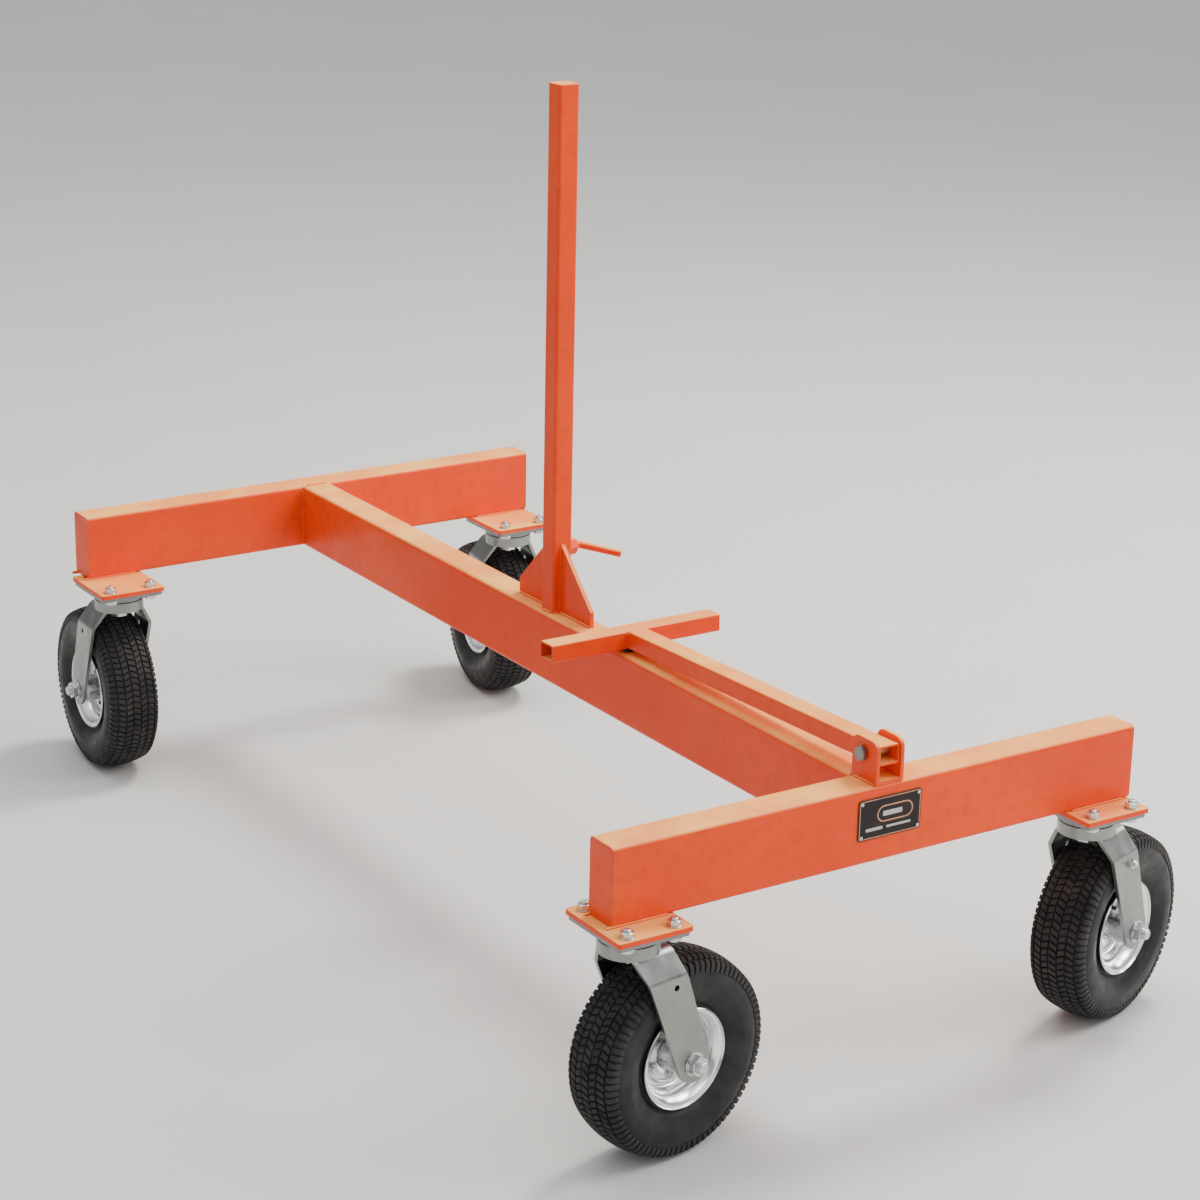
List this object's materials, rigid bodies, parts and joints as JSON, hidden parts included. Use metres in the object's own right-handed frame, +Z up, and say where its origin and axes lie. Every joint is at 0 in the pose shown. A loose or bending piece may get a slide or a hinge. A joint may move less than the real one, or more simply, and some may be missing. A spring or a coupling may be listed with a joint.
{
  "type": "wheeled pitching machine base",
  "caption": "Rolling steel H-frame base with a square mast, a folding T-shaped tow handle and swivel casters on pneumatic tyres.",
  "frame": {"origin": "on the ground under the middle of the H-frame", "axes": "+Z up, +X across the cart along the cross beams, -Y towards the end with the tow handle's hinge and the nameplate, +Y along the centre beam"},
  "size_m": [0.9825, 1.7329, 1.186],
  "materials": {
    "orange_powder_coat": "satin powder coat, orange",
    "zinc_hardware": "bright zinc plate",
    "zinc_fork": "bright zinc plate, pressed sheet",
    "zinc_rim": "bright zinc plate, pressed sheet",
    "bearing_steel": "ground bearing steel",
    "bush_bronze": "sintered bronze",
    "tyre_black": "matt black rubber with grass dust",
    "pad_rubber": "matt black rubber",
    "valve_rubber": "black rubber stem",
    "nameplate_black": "satin black plate"
  },
  "bodies": {
    "root": {"front_cross_beam": "orange_powder_coat", "rear_cross_beam": "orange_powder_coat", "centre_beam": "orange_powder_coat", "beam_end_caps": "orange_powder_coat", "caster_mount_plates": "orange_powder_coat", "caster_bolts": "zinc_hardware", "mast_tube": "orange_powder_coat", "mast_cap": "orange_powder_coat", "mast_gussets": "orange_powder_coat", "clamp_nut": "orange_powder_coat", "hitch_bracket": "orange_powder_coat", "tow_pivot_bolt": "zinc_hardware", "handle_rest_pad": "pad_rubber", "nameplate": "nameplate_black", "nameplate_rivets": "zinc_hardware", "front_left_top_plate": "zinc_hardware", "front_left_kingpin": "zinc_hardware", "front_right_top_plate": "zinc_hardware", "front_right_kingpin": "zinc_hardware", "rear_left_top_plate": "zinc_hardware", "rear_left_kingpin": "zinc_hardware", "rear_right_top_plate": "zinc_hardware", "rear_right_kingpin": "zinc_hardware"},
    "tow_handle": {"tow_tube": "orange_powder_coat", "tow_crossbar": "orange_powder_coat", "tow_pivot_bush": "bush_bronze"},
    "clamp_screw": {"clamp_screw": "orange_powder_coat"},
    "front_left_fork_body": {"front_left_fork": "zinc_fork", "front_left_axle": "zinc_hardware", "front_left_swivel_balls": "bearing_steel"},
    "front_left_wheel_body": {"front_left_tyre": "tyre_black", "front_left_rim": "zinc_rim", "front_left_hub": "zinc_rim", "front_left_bearings": "bearing_steel", "front_left_valve": "valve_rubber"},
    "front_right_fork_body": {"front_right_fork": "zinc_fork", "front_right_axle": "zinc_hardware", "front_right_swivel_balls": "bearing_steel", "front_right_leg_bolt": "zinc_hardware"},
    "front_right_wheel_body": {"front_right_tyre": "tyre_black", "front_right_rim": "zinc_rim", "front_right_hub": "zinc_rim", "front_right_bearings": "bearing_steel", "front_right_valve": "valve_rubber"},
    "rear_left_fork_body": {"rear_left_fork": "zinc_fork", "rear_left_axle": "zinc_hardware", "rear_left_swivel_balls": "bearing_steel"},
    "rear_left_wheel_body": {"rear_left_tyre": "tyre_black", "rear_left_rim": "zinc_rim", "rear_left_hub": "zinc_rim", "rear_left_bearings": "bearing_steel", "rear_left_valve": "valve_rubber"},
    "rear_right_fork_body": {"rear_right_fork": "zinc_fork", "rear_right_axle": "zinc_hardware", "rear_right_swivel_balls": "bearing_steel"},
    "rear_right_wheel_body": {"rear_right_tyre": "tyre_black", "rear_right_rim": "zinc_rim", "rear_right_hub": "zinc_rim", "rear_right_bearings": "bearing_steel", "rear_right_valve": "valve_rubber"}
  },
  "joints": [
    {"name": "tow_handle_hinge", "type": "hinge", "parent": "root", "child": "tow_handle", "pos_m": [0, -0.76, 0.464], "axis": [1, 0, 0], "range_deg": [0, 205]},
    {"name": "clamp_screw_turn", "type": "hinge", "parent": "root", "child": "clamp_screw", "pos_m": [0.02, -0.01, 0.521], "axis": [1, 0, 0], "range_deg": [0, 360]},
    {"name": "front_left_swivel", "type": "hinge", "parent": "root", "child": "front_left_fork_body", "pos_m": [-0.37, -0.769, 0.302], "axis": [0, 0, 1], "continuous": true},
    {"name": "front_left_wheel_spin", "type": "hinge", "parent": "front_left_fork_body", "child": "front_left_wheel_body", "pos_m": [-0.30469, -0.75947, 0.132], "axis": [-0.1444, 0.9895, 0], "continuous": true},
    {"name": "front_right_swivel", "type": "hinge", "parent": "root", "child": "front_right_fork_body", "pos_m": [0.352, -0.769, 0.302], "axis": [0, 0, 1], "continuous": true},
    {"name": "front_right_wheel_spin", "type": "hinge", "parent": "front_right_fork_body", "child": "front_right_wheel_body", "pos_m": [0.41498, -0.74926, 0.132], "axis": [-0.299, 0.9542, 0], "continuous": true},
    {"name": "rear_left_swivel", "type": "hinge", "parent": "root", "child": "rear_left_fork_body", "pos_m": [-0.37, 0.706, 0.302], "axis": [0, 0, 1], "continuous": true},
    {"name": "rear_left_wheel_spin", "type": "hinge", "parent": "rear_left_fork_body", "child": "rear_left_wheel_body", "pos_m": [-0.36735, 0.77195, 0.132], "axis": [-0.9992, 0.0401, 0], "continuous": true},
    {"name": "rear_right_swivel", "type": "hinge", "parent": "root", "child": "rear_right_fork_body", "pos_m": [0.352, 0.706, 0.302], "axis": [0, 0, 1], "continuous": true},
    {"name": "rear_right_wheel_spin", "type": "hinge", "parent": "rear_right_fork_body", "child": "rear_right_wheel_body", "pos_m": [0.36221, 0.77121, 0.132], "axis": [-0.988, 0.1547, 0], "continuous": true}
  ]
}
